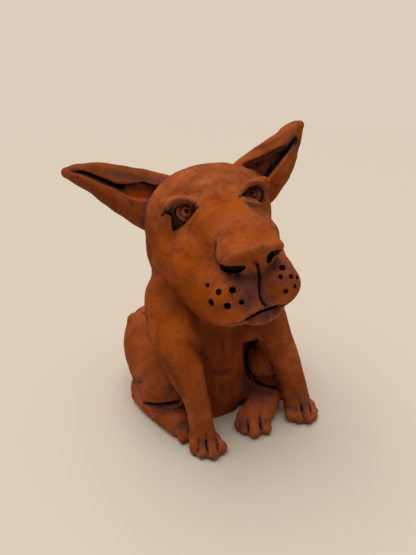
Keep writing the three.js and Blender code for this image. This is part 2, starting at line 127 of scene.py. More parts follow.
def rolled(shape, grow=0.0, side=1, place=Matrix(), fine=1.0):
    # A ball drawn out along its line, as clay is rolled between the hands. A station of the line is
    # (x, y, z, half width, half depth), "square" above 2 boxes the section, "capReach" says how far the
    # ends bulge, "upper" turns the section, and a side of -1 mirrors the line
    line = [(side * x, *rest) for x, *rest in shape["line"]]
    steps, caps = round(rollGrid["steps"] * fine), round(rollGrid["caps"] * fine)
    rows = steps + 2 * caps
    columns = round(shape.get("around", rollGrid["around"]) * fine)
    upper, square = Vector(shape.get("upper", (1, 0, 0))), shape.get("square", 2.0)
    form = bmesh.new()
    bmesh.ops.create_uvsphere(form, u_segments=columns, v_segments=rows, radius=1.0)
    for vert in form.verts:
        row = round(math.acos(max(-1.0, min(1.0, vert.co.z))) / math.pi * rows)
        around = math.atan2(vert.co.y, vert.co.x)
        station, run = onLine(line, max(0.0, min(1.0, (row - caps) / steps)))
        ahead = Vector(shape["facing"]) if "facing" in shape else run
        wide, deep = station[3] + grow, station[4] + grow
        u = (upper - ahead * upper.dot(ahead)).normalized()
        v = ahead.cross(u)
        middle = Vector(station[:3])
        shrink = 1.0
        if row < caps or row > rows - caps:
            angle = min(row, rows - row) / caps * math.pi / 2
            reach = shape.get("capReach", 1.0) * min(wide, deep) * math.cos(angle)
            middle += ahead * (-reach if row < caps else reach)
            shrink = math.sin(angle)
        c, s = math.cos(around), math.sin(around)
        k = shrink / (abs(c) ** square + abs(s) ** square) ** (1 / square)
        vert.co = place @ (middle + u * (c * k * wide) + v * (s * k * deep))
    bmesh.ops.recalc_face_normals(form, faces=form.faces)
    return form


pawPad = ((-0.25, 0.5, 0.74, 0.52), (0.1, 0.42, 0.96, 0.46))  # heel and front, in shares of the paw's sizes
toeRoot = {"share": 0.3, "up": 0.5, "thicker": 0.6}  # where a toe leaves the pad, and how thick it is there


def pawForms(paw, grow=0.0):
    # A low pad with the toes pushed out of its front edge; each toe is the x, y and radius of its tip
    bend = math.radians(paw["turn"])
    forward = Vector((math.sin(bend), -math.cos(bend), 0))
    middle = Vector((*paw["at"], 0))
    half, length, height = paw["half"], paw["length"], paw["height"]
    pad = []
    for ahead, up, wide, deep in pawPad:
        spot = middle + forward * length * ahead
        pad.append((spot.x, spot.y, height * up, half * wide, height * deep))
    lines = [pad]
    for x, y, radius in paw["toes"]:
        start = middle.lerp(Vector((x, y, 0)), toeRoot["share"])
        thick = radius + toeRoot["thicker"]
        lines.append([(start.x, start.y, height * toeRoot["up"], thick, thick),
                      (x, y, radius, radius, radius)])
    return [rolled({"line": line}, grow) for line in lines]


# Work on a skin of clay
def asObject(name, forms):
    # Puts the forms into one new object
    mesh = bpy.data.meshes.new(name)
    gathered = bmesh.new()
    for form in forms:
        form.to_mesh(mesh)
        gathered.from_mesh(mesh)
        form.free()
    gathered.to_mesh(mesh)
    gathered.free()
    thing = bpy.data.objects.new(name, mesh)
    scene.collection.objects.link(thing)
    return thing


def settled(thing):
    # Applies the modifiers of a thing to its mesh
    depsgraph = bpy.context.evaluated_depsgraph_get()
    mesh = bpy.data.meshes.new_from_object(thing.evaluated_get(depsgraph))
    old = thing.data
    thing.modifiers.clear()
    thing.data = mesh
    bpy.data.meshes.remove(old)
    return thing


def discard(*things):
    for thing in things:
        mesh = thing.data
        bpy.data.objects.remove(thing)
        bpy.data.meshes.remove(mesh)


def kneaded(thing, voxel, rounds):
    # Makes one skin of everything in the thing and rubs it smooth
    remesh = thing.modifiers.new("one skin", "REMESH")
    remesh.mode = "VOXEL"
    remesh.voxel_size = voxel
    if rounds:
        rub = thing.modifiers.new("rubbed smooth", "SMOOTH")
        rub.factor = 0.5
        rub.iterations = rounds
    return settled(thing)


def region(name, forms, voxel=2.0):
    # A closed shape to cut with
    return kneaded(asObject(name, forms), voxel, 0)


def joined(name, things):
    # Everything in the things as one new object; the things themselves go
    forms = []
    for thing in things:
        form = bmesh.new()
        form.from_mesh(thing.data)
        forms.append(form)
    whole = asObject(name, forms)
    discard(*things)
    return whole


def cut(thing, cutter, how="DIFFERENCE"):
    knife = thing.modifiers.new("cut", "BOOLEAN")
    knife.operation = how
    knife.solver = "MANIFOLD"
    knife.object = cutter
    before = len(thing.data.vertices)
    settled(thing)
    print("  cut", thing.name, how.lower(), before, "to", len(thing.data.vertices), "points")
    return thing


def copied(thing, name):
    twin = bpy.data.objects.new(name, thing.data.copy())
    scene.collection.objects.link(twin)
    return twin


def spotsOf(thing):
    spots = np.empty(len(thing.data.vertices) * 3)
    thing.data.vertices.foreach_get("co", spots)
    return spots.reshape(-1, 3)


def normalsOf(thing):
    normals = np.empty(len(thing.data.vertices) * 3)
    thing.data.vertex_normals.foreach_get("vector", normals)
    return normals.reshape(-1, 3)


def moveSpots(thing, spots):
    thing.data.vertices.foreach_set("co", spots.ravel())
    thing.data.update()


def setPaint(thing, amounts):
    for name, amount in amounts.items():
        held = thing.data.attributes.new(name, "FLOAT", "POINT")
        held.data.foreach_set("value", np.clip(np.broadcast_to(amount, len(thing.data.vertices)), 0, 1))


def averaged(thing, values, rounds):
    # Each value becomes the mean of its neighbours', again and again
    ends = np.empty(len(thing.data.edges) * 2, int)
    thing.data.edges.foreach_get("vertices", ends)
    a, b = ends.reshape(-1, 2).T
    count = len(thing.data.vertices)
    near = np.maximum(np.bincount(a, minlength=count) + np.bincount(b, minlength=count), 1)
    values = np.atleast_2d(values.T).copy()
    for _ in range(rounds):
        for row in range(len(values)):
            held = values[row]
            total = (np.bincount(a, weights=held[b], minlength=count)
                     + np.bincount(b, weights=held[a], minlength=count))
            values[row] = 0.5 * held + 0.5 * total / near
    return values.T.squeeze()


def skinTree(thing):
    return BVHTree.FromObject(thing, bpy.context.evaluated_depsgraph_get())


def drawn(points, gap=1.5):
    # Picture points on a smooth line through the given ones, a set gap apart
    line = [(*point, 1.0) if len(point) == 2 else point for point in points]
    length = sum(math.dist(a[:2], b[:2]) for a, b in zip(line, line[1:]))
    count = max(2, round(length / gap))
    return [onLine(line, k / count)[0] for k in range(count + 1)]


def touched(tree, points):
    # The places on the skin that picture points fall on, with the skin's normals and the points' weights
    found = []
    for x, y, weight in points:
        place, normal, _, _ = tree.ray_cast(viewFrom, sightLine(x, y))
        if place:
            found.append((*place, *normal, weight))
    return np.array(found)


batch = 4000  # points at once, so that the table of distances stays small


def nearestOf(spots, marks, reach):
    # For the skin's points close to the marks: which they are, how far off, and the nearest mark
    low, high = marks[:, :3].min(0) - reach, marks[:, :3].max(0) + reach
    near = np.flatnonzero(np.all((spots > low) & (spots < high), axis=1))
    apart = np.empty(len(near))
    which = np.empty(len(near), int)
    for start in range(0, len(near), batch):
        part = near[start:start + batch]
        away = np.linalg.norm(spots[part][:, None] - marks[None, :, :3], axis=2)
        which[start:start + batch] = away.argmin(1)
        apart[start:start + batch] = away.min(1)
    keep = apart < reach
    return near[keep], apart[keep], which[keep]


def stroke(*points, wide, deep=0.0, lip=0.0, spread=1.3, ends=0.12, **paint):
    # A line drawn along picture points; a point's third number is its weight, 1 where none is given. The
    # line is so many mm wide and deep, or raised where deep is below zero. Its paint spreads that many
    # times its width, and its ends fade over a share of its length
    return {"points": points, "wide": wide, "deep": deep, "lip": lip, "spread": spread * wide, "ends": ends,
            "paint": paint}


strokeEdge = {"reach": 2.8, "lipAt": 2.1, "lipWide": 0.8}  # in widths of the stroke, out from its middle
evening = 8  # how often the normals along a stroke are averaged
dabReach = 2.5  # in widths of the dab


def pressStroke(spots, amounts, tree, mark):
    # Moves the skin's points along a stroke, inwards by the normals there, and lays its paint
    marks = touched(tree, drawn(mark["points"]))
    if len(marks) < 2:
        print("  a stroke misses the clay:", mark["points"][0])
        return
    wide, spread = mark["wide"], mark["spread"]
    near, apart, which = nearestOf(spots, marks, max(wide, spread) * strokeEdge["reach"])
    along = np.linspace(0, 1, len(marks))
    taper = np.clip(np.minimum(along, 1 - along) / mark["ends"], 0, 1)
    strength = (marks[:, 6] * np.sqrt(taper))[which]
    inward = -marks[:, 3:6]
    for _ in range(evening):
        inward[1:-1] = (inward[:-2] + inward[1:-1] + inward[2:]) / 3
    inward /= np.linalg.norm(inward, axis=1)[:, None]
    groove = np.exp(-(apart / wide) ** 2)
    lip = np.exp(-((apart - strokeEdge["lipAt"] * wide) / (strokeEdge["lipWide"] * wide)) ** 2)
    push = mark["deep"] * groove - mark["lip"] * lip
    spots[near] += inward[which] * (push * strength)[:, None]
    for name, amount in mark["paint"].items():
        np.maximum.at(amounts[name], near, amount * strength * np.exp(-(apart / spread) ** 2))


def pressDab(spots, tree, x, y, wide, deep):
    # A thumb mark, or a lump where its depth is below zero
    marks = touched(tree, [(x, y, 1.0)])
    if not len(marks):
        print("  a dab misses the clay:", x, y)
        return
    near, apart, _ = nearestOf(spots, marks, wide * dabReach)
    spots[near] -= marks[0, 3:6] * (deep * np.exp(-(apart / wide) ** 2))[:, None]


def patched(spots, tree, patches):
    # Soft round patches of colour, each (x, y, reach in mm, strength)
    amount = np.zeros(len(spots))
    for x, y, reach, strength in patches:
        marks = touched(tree, [(x, y, 1.0)])
        if not len(marks):
            print("  a patch misses the clay:", x, y)
            continue
        apart = np.linalg.norm(spots - marks[0, :3], axis=1)
        amount = np.maximum(amount, strength * np.exp(-(apart / reach) ** 2))
    return amount


def insideBy(seen, outline):
    # How far inside a closed outline each picture point lies, below zero outside
    corners = np.array(outline, float)
    following = np.roll(corners, -1, axis=0)
    within = np.zeros(len(seen), bool)
    apart = np.full(len(seen), 1e9)
    for a, b in zip(corners, following):
        run = b - a
        share = np.clip((seen - a) @ run / (run @ run), 0, 1)
        apart = np.minimum(apart, np.linalg.norm(seen - a - share[:, None] * run, axis=1))
        crosses = (a[1] > seen[:, 1]) != (b[1] > seen[:, 1])
        level = np.where(crosses, (seen[:, 1] - a[1]) / (run[1] if run[1] else 1e-9), 0)
        within ^= crosses & (seen[:, 0] < a[0] + level * run[0])
    return np.where(within, apart, -apart)


def smoothOutline(points, gap=1.5):
    # A closed smooth line through picture points
    closed = [(*p, 1.0) for p in (points[-1], *points, points[0], points[1])]
    length = sum(math.dist(a[:2], b[:2]) for a, b in zip(closed[1:], closed[2:-1]))
    count = max(8, round(length / gap))
    spans = len(closed) - 1
    return [tuple(onLine(closed, (1 + k / count * len(points)) / spans)[0][:2]) for k in range(count)]


def pressArea(thing, area, facing=0.15):
    # Presses an outlined area of the clay straight back, where its skin faces the viewer
    spots = spotsOf(thing)
    away = spots - viewSpot
    away /= np.linalg.norm(away, axis=1)[:, None]
    depth = np.clip(insideBy(seenAt(spots), smoothOutline(area["outline"])) / area["soft"], 0, 1)
    depth = depth * depth * (3 - 2 * depth) * ((normalsOf(thing) * away).sum(1) < facing)
    moveSpots(thing, spots + away * (area["deep"] * depth)[:, None])


def rubArea(thing, area):
    # Rubs an outlined area of the clay smooth, as with a thumb, as far from the viewer as its "within"
    spots = spotsOf(thing)
    share = np.clip(insideBy(seenAt(spots), smoothOutline(area["outline"])) / area["soft"] + 0.5, 0, 1)
    share *= np.linalg.norm(spots - viewSpot, axis=1) < area["within"]
    moveSpots(thing, spots + (averaged(thing, spots, area["rounds"]) - spots) * share[:, None])


def undulated(thing, high, wide, seed):
    # The slight waves that fingers leave
    spots, normals = spotsOf(thing), normalsOf(thing)
    waves = np.array([noise.noise(Vector(spot) / wide + Vector((seed, 0, 0))) for spot in spots])
    moveSpots(thing, spots + normals * (waves * high)[:, None])


def hollowness(thing, rounds, full):
    # How deep each point lies in a crease, from 0 to 1
    spots, normals = spotsOf(thing), normalsOf(thing)
    sunk = ((averaged(thing, spots, rounds) - spots) * normals).sum(1)
    return np.clip(sunk / full, 0, 1)


def marked(skin, clay, strokes, dabs=(), paint=None):
    # Waves, strokes, dabs and patches on a skin; gives how much of each paint its points take. The oxide wash
    # and painted shade that lie in creases are a share, the rounds of averaging that find the crease, and the
    # full depth
    undulated(skin, *clay["waves"])
    tree = skinTree(skin)
    spots = spotsOf(skin)
    amounts = {name: np.zeros(len(spots)) for name in paintNames}
    for mark in strokes:
        pressStroke(spots, amounts, tree, mark)
    for dab in dabs:
        pressDab(spots, tree, *dab)
    moveSpots(skin, spots)
    for name, patches in (paint or {}).items():
        amounts[name] = np.maximum(amounts[name], patched(spots, tree, patches))
    for share, rounds, full in clay["creases"]:
        amounts["wash"] += share * hollowness(skin, rounds, full)
    return amounts


def punched(outline, tree, deep, above=3.0, lean=0.0, flat=False):
    # A closed cutter from a picture outline: it starts above the clay and goes in along the view, or leans
    # towards the clay's own inward direction. Its rim is drawn flat where the skin under it is uneven
    marks = touched(tree, [(*p, 1.0) for p in smoothOutline(outline, 1.2)])[:, :6]
    inward = Vector(-marks[:, 3:6].mean(0)).normalized()
    heading = (sightLine(*np.mean(outline, axis=0)) * (1 - lean) + inward * lean).normalized()
    if flat:
        uneven = (marks[:, :3] - marks[:, :3].mean(0)) @ np.array(heading)
        marks[:, :3] -= uneven[:, None] * np.array(heading)
    form = bmesh.new()
    rim = [form.verts.new(Vector(mark[:3]) - heading * above) for mark in marks]
    form.faces.new(rim)
    floor = bmesh.ops.extrude_face_region(form, geom=form.faces[:])
    lowered = [part for part in floor["geom"] if isinstance(part, bmesh.types.BMVert)]
    bmesh.ops.translate(form, verts=lowered, vec=heading * (above + deep))
    bmesh.ops.recalc_face_normals(form, faces=form.faces)
    bmesh.ops.triangulate(form, faces=form.faces)
    return form


def pierced(tree, x, y, radius, tool):
    # A round tool pushed into the clay; "slant" turns it from the view towards the skin's normal
    marks = touched(tree, [(x, y, 1.0)])
    slant = tool["slant"]
    inward = (Vector(-marks[0, 3:6]) * slant + sightLine(x, y) * (1 - slant)).normalized()
    form = bmesh.new()
    bmesh.ops.create_cone(form, cap_ends=True, segments=20, radius1=radius * tool["tip"], radius2=radius,
                          depth=tool["deep"] + tool["above"])
    place = Matrix.Translation(Vector(marks[0, :3]) + inward * (tool["deep"] - tool["above"]) / 2)
    aim = (-inward).to_track_quat("Z", "Y").to_matrix().to_4x4()
    bmesh.ops.transform(form, matrix=place @ aim, verts=form.verts)
    return form


# Materials
def linear(code):
    # An sRGB hex colour as the linear values that shaders take
    parts = [int(code[k:k + 2], 16) / 255 for k in (1, 3, 5)]
    return (*[c / 12.92 if c <= 0.04045 else ((c + 0.055) / 1.055) ** 2.4 for c in parts], 1.0)


def addNode(tree, kind, settings=None, **links):
    # Adds one node; a link is a value or another node's output
    node = tree.nodes.new(kind)
    for key, value in (settings or {}).items():
        setattr(node, key, value)
    for key, value in links.items():
        name = key.replace("_", " ")
        socket = node.inputs[int(name[1:])] if name[0] == "n" and name[1:].isdigit() else node.inputs[name]
        if isinstance(value, bpy.types.NodeSocket):
            tree.links.new(value, socket)
        else:
            socket.default_value = value
    return node


clayFinish = {
    "base": "#984a1b", "roughness": 0.82, "ior": 1.45, "specular": 0.12,
    "bump": {"strength": 0.5, "mm": 0.4, "brushed": 0.7, "grain": 0.3},
    "streaks": {"from": (0.35, 0.7), "to": (-0.16, 0.10), "begin": (0.02, 0.25)},  # brush marks in the wash
    "patterns": {  # size in mm, detail, roughness, distortion, and stretch along each axis
        "patches": (34.0, 3.0, 0.55, 0.6, (1, 1, 1)),
        "brushed": (3.2, 4.0, 0.55, 0.8, (1, 1, 0.35)),
        "worn": (11.0, 5.0, 0.62, 0.9, (1, 1, 1)),
        "specks": (3.2, 2.0, 0.6, 0.0, (1, 1, 1)),
        "grain": (0.9, 2.0, 0.6, 0.0, (1, 1, 1)),  # coarser than real grog, so that it shows
    },
    "coats": [  # one over another, each shown by a paint, or where a pattern lies between two levels, or both
        {"colour": "#b25e31", "pattern": "patches", "shows": (0.38, 0.64)},  # lighter clay
        {"colour": "#9c4b2d", "most": 0.45, "pattern": "brushed", "shows": (0.45, 0.75)},  # rust streaks
        {"colour": "#af5204", "paint": "ochre"},
        # painted shade: a dark burnt orange under the head, in valleys and creases, and on the ears' rolls
        {"colour": "#662a04", "paint": "burnt"},
        # pale: dry clay dust, and painted highlights along the bridge's edge and on the nose
        {"colour": "#b98a63", "paint": "pale", "pattern": "brushed", "shows": (0.3, 0.65)},  # dry clay dust
        {"colour": "#74341b", "most": 0.55, "pattern": "worn", "shows": (0.45, 0.7)},  # umber blotches
        # these two coats show the oxide wash, and also painted shade in creases, under the lids and round the
        # left thigh
        {"colour": "#6c423b", "most": 0.9, "pattern": "oxide", "shows": (0.05, 0.5)},  # a thin purple film
        {"colour": "#1d1517", "pattern": "oxide", "shows": (0.5, 0.95)},  # the same wash lying thick
        {"colour": "#1d1517", "most": 0.6, "pattern": "specks", "shows": (0.66, 0.74)},  # iron specks
    ],
}


def terracotta(name, finish):
    # Brushed unglazed terracotta: matte, warm and uneven, with a thin dark oxide wash that was wiped back
    # from the high places and stays in the creases. The wash's colours and a dark orange also paint
    # shade in creases, under overhangs and under the head, and a pale paint also paints highlights
    material = bpy.data.materials.new(name)
    material.use_nodes = True
    tree = material.node_tree
    tree.nodes.clear()
    place = addNode(tree, "ShaderNodeTexCoord").outputs["Object"]
    patterns = {}
    for kind, (size, detail, roughness, distortion, stretch) in finish["patterns"].items():
        turned = addNode(tree, "ShaderNodeMapping", Vector=place, Scale=stretch).outputs["Vector"]
        patterns[kind] = addNode(tree, "ShaderNodeTexNoise", {"noise_dimensions": "3D"}, Vector=turned,
                                 Scale=1 / (size * mm), Detail=detail, Roughness=roughness,
                                 Distortion=distortion).outputs["Fac"]

    wash = addNode(tree, "ShaderNodeAttribute", {"attribute_name": "wash"}).outputs["Fac"]
    streaks, soft = finish["streaks"], {"interpolation_type": "SMOOTHSTEP"}
    (low, high), (least, most) = streaks["from"], streaks["to"]
    streaked = addNode(tree, "ShaderNodeMapRange", soft, Value=patterns["brushed"], From_Min=low,
                       From_Max=high, To_Min=least, To_Max=most)
    low, high = streaks["begin"]
    begun = addNode(tree, "ShaderNodeMapRange", soft, Value=wash, From_Min=low, From_Max=high)
    patterns["oxide"] = addNode(tree, "ShaderNodeMath", {"operation": "MULTIPLY_ADD"}, n0=streaked.outputs[0],
                                n1=begun.outputs[0], n2=wash).outputs[0]

    colour = linear(finish["base"])
    for coat in finish["coats"]:
        share = coat.get("most", 1.0)
        if "paint" in coat:
            share = addNode(tree, "ShaderNodeAttribute", {"attribute_name": coat["paint"]}).outputs["Fac"]
        if "pattern" in coat:
            low, high = coat["shows"]
            shown = addNode(tree, "ShaderNodeMapRange", soft, Value=patterns[coat["pattern"]], From_Min=low,
                            From_Max=high)
            share = addNode(tree, "ShaderNodeMath", {"operation": "MULTIPLY"}, n0=shown.outputs[0],
                            n1=share).outputs[0]
        colour = addNode(tree, "ShaderNodeMix", {"data_type": "RGBA"}, n0=share, n6=colour,
                         n7=linear(coat["colour"])).outputs[2]

    bump = finish["bump"]
    ridges = addNode(tree, "ShaderNodeMath", {"operation": "MULTIPLY"}, n0=patterns["brushed"],
                     n1=bump["brushed"])
    height = addNode(tree, "ShaderNodeMath", {"operation": "MULTIPLY_ADD"}, n0=patterns["grain"],
                     n1=bump["grain"], n2=ridges.outputs[0])
    bumps = addNode(tree, "ShaderNodeBump", Strength=bump["strength"], Distance=bump["mm"] * mm,
                    Height=height.outputs[0])
    shader = addNode(tree, "ShaderNodeBsdfPrincipled", Base_Color=colour, Roughness=finish["roughness"],
                     IOR=finish["ior"], Specular_IOR_Level=finish["specular"], Normal=bumps.outputs["Normal"])
    addNode(tree, "ShaderNodeOutputMaterial", Surface=shader.outputs["BSDF"])
    return material


firedClay = terracotta("brushed unglazed terracotta", clayFinish)
sharpFrom = 48  # degrees between faces that meet in a crisp edge


def finished(thing, node):
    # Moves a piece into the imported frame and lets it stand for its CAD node
    thing.data.transform(Matrix.Translation(dogShift))
    thing.data.transform(Matrix.Scale(mm, 4))
    thing.data.materials.clear()
    thing.data.materials.append(firedClay)
    thing.data.shade_smooth()
    thing.data.set_sharp_from_angle(angle=math.radians(sharpFrom))
    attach(thing, "root")
    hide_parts(node)
    triangles = sum(len(face.vertices) - 2 for face in thing.data.polygons)
    print("  piece", thing.name, triangles, "triangles")


# The head's outer skin
noseward = (0, -1, 0)
skullShape = {"line": [(-5, 42, 6, 44, 36), (-5, 28, 7, 58, 47), (-5, 10, 7, 66, 54), (-4, -6, 6, 62, 55),
                       (-1, -20, 3, 52, 51), (0, -34, 0, 34, 43)], "capReach": 0.65, "facing": noseward,
              "around": 48}
muzzleShape = {"line": [(-8, 20, -16, 64, 40), (-8, 2, -20, 66, 42), (-7, -24, -28, 61, 42),
                        (-4, -58, -36, 51, 38), (-3, -78, -36, 43, 32), (-2, -91, -33, 34, 24)],
               "square": 2.8, "capReach": 0.45, "around": 48}
bridgeShape = {"line": [(0, -16, 20, 37, 36), (0, -42, 9, 35, 30), (0, -68, 1, 30, 25),
                        (0, -84, -2, 25, 15)]}
browShape = {"line": [(22, -30, 34, 5.5, 5.5), (37, -24, 37, 6.5, 6.5), (50, -13, 34, 6, 6)],
             "upper": (0, 0, 1)}
noseShape = {"line": [(0, -72, 7, 27, 16), (0, -88, 3, 29, 12), (0, -96, 2, 25, 10)], "capReach": 0.5}
flewShape = {"line": [(25, -60, -28, 18, 22), (22, -78, -32, 20, 23), (21, -93, -33, 19, 20)],
             "capReach": 0.75}
cheekShape = {"line": [(33, -22, -8, 24, 24), (32, -36, -9, 24, 25), (28, -52, -14, 21, 23),
                       (26, -62, -18, 17, 19)], "capReach": 0.5}
jawShape = {"line": [(0, -44, -52, 34, 14), (1, -72, -54, 31, 13), (3, -94, -53, 21, 11)]}
headClay = {"softVoxel": 2.2, "softRounds": 7, "voxel": 0.95, "rounds": 3, "waves": (0.7, 13.0, 3),
            "creases": [(0.5, 12, 0.6), (0.25, 60, 1.8)],
            "grow": {"core": 0.4, "flew": 0.5, "brow": 0.8, "cheek": {"left": -6.0, "right": 0.0}}}
print("stage: the head is put together")
grow = headClay["grow"]
headForms = [rolled(shape, grow["core"], place=headMatrix)
             for shape in (skullShape, muzzleShape, bridgeShape, noseShape, jawShape)]
for side in sides.values():
    headForms.append(rolled(flewShape, grow["flew"], side, headMatrix))
    headForms.append(rolled(browShape, grow["brow"], side, headMatrix))
for name in ("right", "left"):
    headForms.append(rolled(cheekShape, grow["cheek"][name], sides[name], headMatrix))
headSkin = kneaded(asObject("head skin", headForms), headClay["softVoxel"], headClay["softRounds"])
kneaded(headSkin, headClay["voxel"] * coarse, headClay["rounds"])
print("  head skin", len(headSkin.data.vertices), "points")

headStrokes = [
    # Philtrum, mouth and the grooves round the nose
    stroke((255.5, 262), (257.5, 265.5), (259.3, 270), (260, 278), (260, 288), (261, 297), (263.5, 303),
           (267, 307), wide=1.4, deep=3.4, wash=1.0, ends=0.06),
    stroke((262, 272), (262.5, 284), (264, 296), (268, 304), wide=2.6, deep=0.9, wash=0.5, spread=1.1),
    stroke((266, 306), (274, 307), (284, 305.5), (291, 302), wide=1.8, deep=1.6, wash=0.6),
    stroke((283, 306), (276, 308.3), (270, 310), (263, 312), (256, 315.5, 1.0), (248, 320, 0.9),
           (240, 323, 0.8), (230, 325, 0.6), (216, 326.5, 0.5), wide=1.8, deep=5.0, lip=0.2, wash=1.0,
           ends=0.05),
    stroke((215.5, 240, 0.3), (214.5, 247, 0.7), (213.8, 254), (215.3, 260), (219.5, 266), wide=2.1,
           deep=3.2, wash=1.0, spread=1.0),
    stroke((211, 244), (210, 254), (212, 263), wide=4.5, deep=1.0),
    stroke((222, 269), (229, 273), (238, 273), (245, 269), wide=3.2, deep=1.4, wash=0.36),
    stroke((246, 268), (252, 272), (257, 278), wide=3.5, deep=1.2, wash=0.25),
    # Brow ridges and lids, raised, with painted shadow lines under them
    stroke((165, 208), (171, 202.5), (179, 199), (188, 198.5), (196, 202), wide=2.8, deep=-2.4, ends=0.3),
    stroke((201, 210), (193.5, 219.5), (186, 227), (175, 235), wide=3.0, deep=-2.0, ends=0.3),
    stroke((240, 191), (247, 184), (256, 181.5), (263, 184), (267, 191), wide=2.6, deep=-2.4, ends=0.3),
    stroke((243, 200.5), (251, 202.5), (259, 204), (265, 204), wide=2.4, deep=-2.0, ends=0.3),
    stroke((163.5, 213.5), (169, 208.5), (174, 205), (180, 202.8), (187, 202.3), (193, 204.5), (198, 208.5),
           wide=2.2, wash=1.0, spread=1.05, ends=0.04),
    stroke((197, 209), (190.5, 219), (184, 226), (174, 232), wide=1.5, wash=0.85, spread=1.0),
    stroke((242, 194.5), (248, 188), (254, 185.6), (260, 186.5), (264.5, 192), wide=1.7, wash=1.0,
           spread=1.05, ends=0.05),
    stroke((244, 197), (251, 199.5), (259, 200.5), (265, 201), wide=1.2, wash=0.8, spread=1.0),
    stroke((261, 186), (265, 189), (266.5, 194), wide=2.0, wash=0.75),
    stroke((161, 216.5, 0.5), (163, 214), (167, 210), wide=1.3, deep=1.4, wash=0.9),
    stroke((238, 196.5, 0.4), (241, 195.5), (246, 192), wide=1.2, deep=1.2, wash=0.8),
    stroke((263, 198), (266, 201), wide=1.1, deep=1.0, wash=0.8),
    stroke((194, 206), (199, 208.5), wide=1.0, deep=0.8, wash=0.6),
    stroke((240, 199), (247, 203), (255, 207), (263, 211), wide=3.6, wash=0.36, spread=1.2),
    # The bridge's crisp edge with a painted highlight along it, a short painted highlight on the nose, and
    # the upper edge of the bright patch
    stroke((240, 200), (251, 211), (262, 221), (271, 230), (279, 238), wide=2.6, deep=-1.4),
    stroke((248, 216), (256, 224), (265, 232), wide=4.0, deep=-0.6),
    stroke((247, 210), (257, 218), (266, 225.5), (275, 234), wide=1.3, pale=0.5, spread=1.0),
    stroke((223, 261), (225.5, 258.5), (229, 256), wide=0.9, pale=0.7, spread=1.0),
    stroke((203, 200), (212, 196), (224, 195), (237, 198), wide=2.6, ochre=1.0),
    stroke((208, 205), (220, 202), (234, 205), (244, 212), wide=5.0, ochre=1.0),
    stroke((196, 193), (208, 190.5), (222, 190), wide=2.0, wash=0.16),
]
# Each dab is (x, y, how wide, how deep)
headDabs = [(284, 285, 13, -2.0), (235, 250, 12, -1.6), (275, 243, 7, -1.2), (281.5, 246, 4.5, -2.0),
            (208, 246, 7, 0.8), (214, 170, 32, 3.4), (205, 227, 13, -2.4), (258, 210, 9, 1.5)]
headPaint = {
    "wash": [(240, 283, 12, 0.62), (249, 296, 12, 0.66), (246, 306, 8, 0.5), (236, 277, 9, 0.6),
             (228, 280, 6, 0.45), (257, 284, 7, 0.55), (282, 264, 10, 0.46), (274, 272, 9, 0.46),
             (290, 268, 8, 0.42), (284, 279, 9, 0.44), (273, 284, 7, 0.42), (271, 299, 7, 0.5),
             (264, 317, 8, 0.72), (275, 312, 7, 0.7), (252, 322, 6, 0.6), (246, 203, 6, 0.3),
             (222, 233, 7, 0.2), (262, 248, 7, 0.3), (158, 244, 5, 0.3), (190, 176, 9, 0.14),
             (240, 176, 8, 0.14), (172, 250, 5, 0.25), (176, 236, 5, 0.14)],
    # painted shade under the jaw and the cheek, where the head shades the neck
    "burnt": [(190, 308, 12, 0.3), (178, 290, 12, 0.3), (205, 318, 10, 0.3), (160, 262, 10, 0.35),
              (150, 250, 8, 0.5)],
    "ochre": [(228, 200, 15, 0.7), (215, 206, 14, 0.7), (205, 225, 20, 0.6), (190, 260, 26, 0.9),
              (200, 300, 26, 1.0), (165, 250, 22, 0.7), (230, 318, 14, 0.8), (240, 232, 18, 0.5),
              (222, 295, 12, 0.9), (212, 312, 16, 0.9), (176, 285, 18, 0.8)],
    "pale": [(200, 178, 16, 0.12), (228, 176, 14, 0.12)],
}
print("stage: the head is marked")
setPaint(headSkin, marked(headSkin, headClay, headStrokes, headDabs, headPaint))
headTree = skinTree(headSkin)

# Ears
earShape = {
    "left": {"line": [(39.6, 24.3, 16.3, 30, 12), (60.7, 24.8, 29.1, 28, 12), (81.8, 27, 41.9, 23, 12),
                      (100.3, 35.6, 53.9, 16, 10), (117.5, 46.4, 64.2, 10, 8), (127, 52, 66.5, 5, 5)],
             "upper": (0.15, -0.5, -0.82)},
    "right": {"line": [(-39.6, 24.3, 20.3, 34, 12), (-60.7, 24.8, 35.1, 30, 12), (-81.8, 27, 49.9, 23, 12),
                       (-100.3, 35.6, 61.9, 16, 10), (-117.5, 46.4, 68.2, 10, 8), (-127, 52, 70.5, 5, 5)],
              "upper": (-0.15, -0.5, -0.82)},
}
